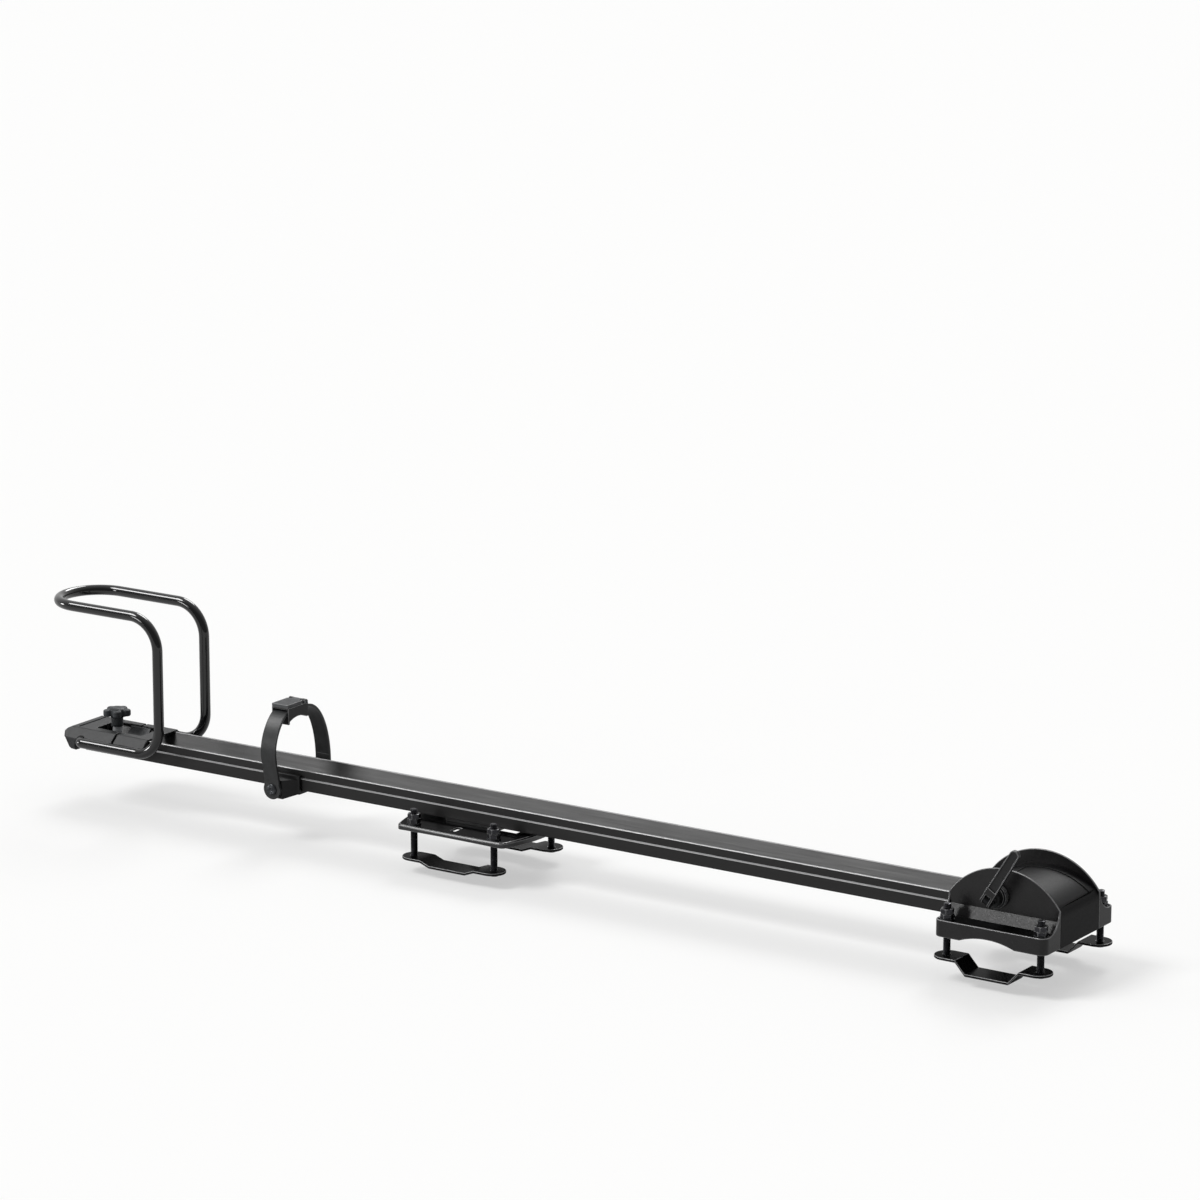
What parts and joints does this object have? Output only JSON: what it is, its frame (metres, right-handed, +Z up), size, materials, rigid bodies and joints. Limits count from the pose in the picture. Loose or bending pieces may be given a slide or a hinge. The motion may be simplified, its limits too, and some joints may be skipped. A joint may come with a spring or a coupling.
{
  "type": "roof mounted bike carrier",
  "caption": "Roof bike carrier: a long wheel rail with a clamping fork head at the front, a rear crossbar clamp, a wheel strap with buckle and a sliding wheel hoop at the end.",
  "frame": {"origin": "middle of the head's seat on the front crossbar, on the underside of the front pad", "axes": "+X along the rail towards the fork head, +Y across the rail towards the skewer nut, +Z up"},
  "size_m": [1.3519, 0.158, 0.2285],
  "materials": {
    "rail_black": "black anodised, satin",
    "head_black": "satin black powder coat",
    "head_satin": "satin black powder coat",
    "cover_black": "satin black powder coat",
    "plate_gloss": "gloss black paint",
    "hoop_gloss": "gloss black powder coat",
    "strap_steel": "semi-gloss black coat",
    "black_zinc": "black zinc",
    "steel": "zinc plated",
    "bright_zinc": "bright zinc",
    "rivet_steel": "dark zinc",
    "collar_grey": "satin dark grey",
    "lever_black": "satin black",
    "insert_brass": "turned",
    "pad_rubber": "matte",
    "holder_plastic": "fine moulded grain",
    "cradle_plastic": "fine moulded grain",
    "knob_plastic": "fine moulded grain",
    "black_plastic": "moulded",
    "strap_plastic": "flexible moulded band",
    "buckle_grey": "moulded"
  },
  "bodies": {
    "frame": {"rail": "rail_black", "head_base": "head_black", "head_side_near": "head_satin", "head_side_far": "head_satin", "head_cover": "cover_black", "head_rear_plate": "head_black", "axle_tube": "steel", "dropout_collars": "collar_grey", "front_pad": "pad_rubber", "rear_plate": "plate_gloss", "rear_pad": "pad_rubber", "rear_spacer": "black_plastic", "slot_nuts": "steel", "slot_screws": "steel", "clamp_nuts": "black_zinc", "lock_nuts": "black_zinc", "clamp_washers": "black_zinc"},
    "hoop_carriage": {"hoop_holder": "holder_plastic", "wheel_hoop": "hoop_gloss", "tyre_cradle": "cradle_plastic", "knob_bolt": "bright_zinc", "knob_sleeve": "bright_zinc", "hoop_clamp_plate": "steel"},
    "knob": {"star_knob": "knob_plastic", "knob_insert": "insert_brass"},
    "strap_carrier": {"strap_base": "black_plastic", "strap_rivets": "rivet_steel"},
    "near_strap": {"near_arm": "strap_plastic", "buckle_body": "black_plastic", "buckle_pin": "steel"},
    "far_strap": {"far_arm": "strap_plastic"},
    "buckle": {"buckle_lever": "buckle_grey"},
    "skewer": {"skewer_rod": "steel", "cam_pin": "steel", "cam_washer": "collar_grey"},
    "lever": {"quick_lever": "lever_black"},
    "nut": {"skewer_nut": "collar_grey"},
    "front_near_clamp": {"front_near_strap": "strap_steel", "front_near_bolts": "black_zinc"},
    "front_far_clamp": {"front_far_strap": "strap_steel", "front_far_bolts": "black_zinc"},
    "rear_near_clamp": {"rear_near_strap": "strap_steel", "rear_near_bolts": "black_zinc"},
    "rear_far_clamp": {"rear_far_strap": "strap_steel", "rear_far_bolts": "black_zinc"}
  },
  "joints": [
    {"name": "hoop_slide", "type": "slide", "parent": "frame", "child": "hoop_carriage", "axis": [1, 0, 0], "range_m": [-0.016, 0.01]},
    {"name": "knob_turn", "type": "hinge", "parent": "hoop_carriage", "child": "knob", "pos_m": [-1.2075, 0, 0.045], "axis": [0, 0, 1], "continuous": true},
    {"name": "strap_slide", "type": "slide", "parent": "frame", "child": "strap_carrier", "axis": [1, 0, 0], "range_m": [-0.04, 0.1]},
    {"name": "near_swing", "type": "hinge", "parent": "strap_carrier", "child": "near_strap", "pos_m": [-0.9445, 0, 0.012], "axis": [0, 1, 0], "range_deg": [-60, 60]},
    {"name": "far_swing", "type": "hinge", "parent": "strap_carrier", "child": "far_strap", "pos_m": [-0.9445, 0, 0.012], "axis": [0, 1, 0], "range_deg": [-60, 60]},
    {"name": "buckle_lift", "type": "hinge", "parent": "near_strap", "child": "buckle", "pos_m": [-0.9445, 0.0015, 0.105], "axis": [-1, 0, 0], "range_deg": [0, 80]},
    {"name": "skewer_slide", "type": "slide", "parent": "frame", "child": "skewer", "axis": [0, 1, 0], "range_m": [0, 0.00075]},
    {"name": "lever_swing", "type": "hinge", "parent": "skewer", "child": "lever", "pos_m": [-0.008, -0.065, 0.0445], "axis": [0.8572, 0, -0.515], "range_deg": [0, 120]},
    {"name": "nut_turn", "type": "hinge", "parent": "skewer", "child": "nut", "pos_m": [-0.008, 0.06, 0.0445], "axis": [0, 1, 0], "continuous": true},
    {"name": "front_near_lift", "type": "slide", "parent": "frame", "child": "front_near_clamp", "axis": [0, 0, 1], "range_m": [-0.01, 0.012]},
    {"name": "front_far_lift", "type": "slide", "parent": "frame", "child": "front_far_clamp", "axis": [0, 0, 1], "range_m": [-0.01, 0.012]},
    {"name": "rear_near_lift", "type": "slide", "parent": "frame", "child": "rear_near_clamp", "axis": [0, 0, 1], "range_m": [-0.009, 0.012]},
    {"name": "rear_far_lift", "type": "slide", "parent": "frame", "child": "rear_far_clamp", "axis": [0, 0, 1], "range_m": [-0.0065, 0.012]}
  ],
  "couplings": [
    {"joint": "far_swing", "follows": "near_swing", "ratio": 1},
    {"joint": "skewer_slide", "follows": "lever_swing", "m_per_rad": 0.000358}
  ]
}
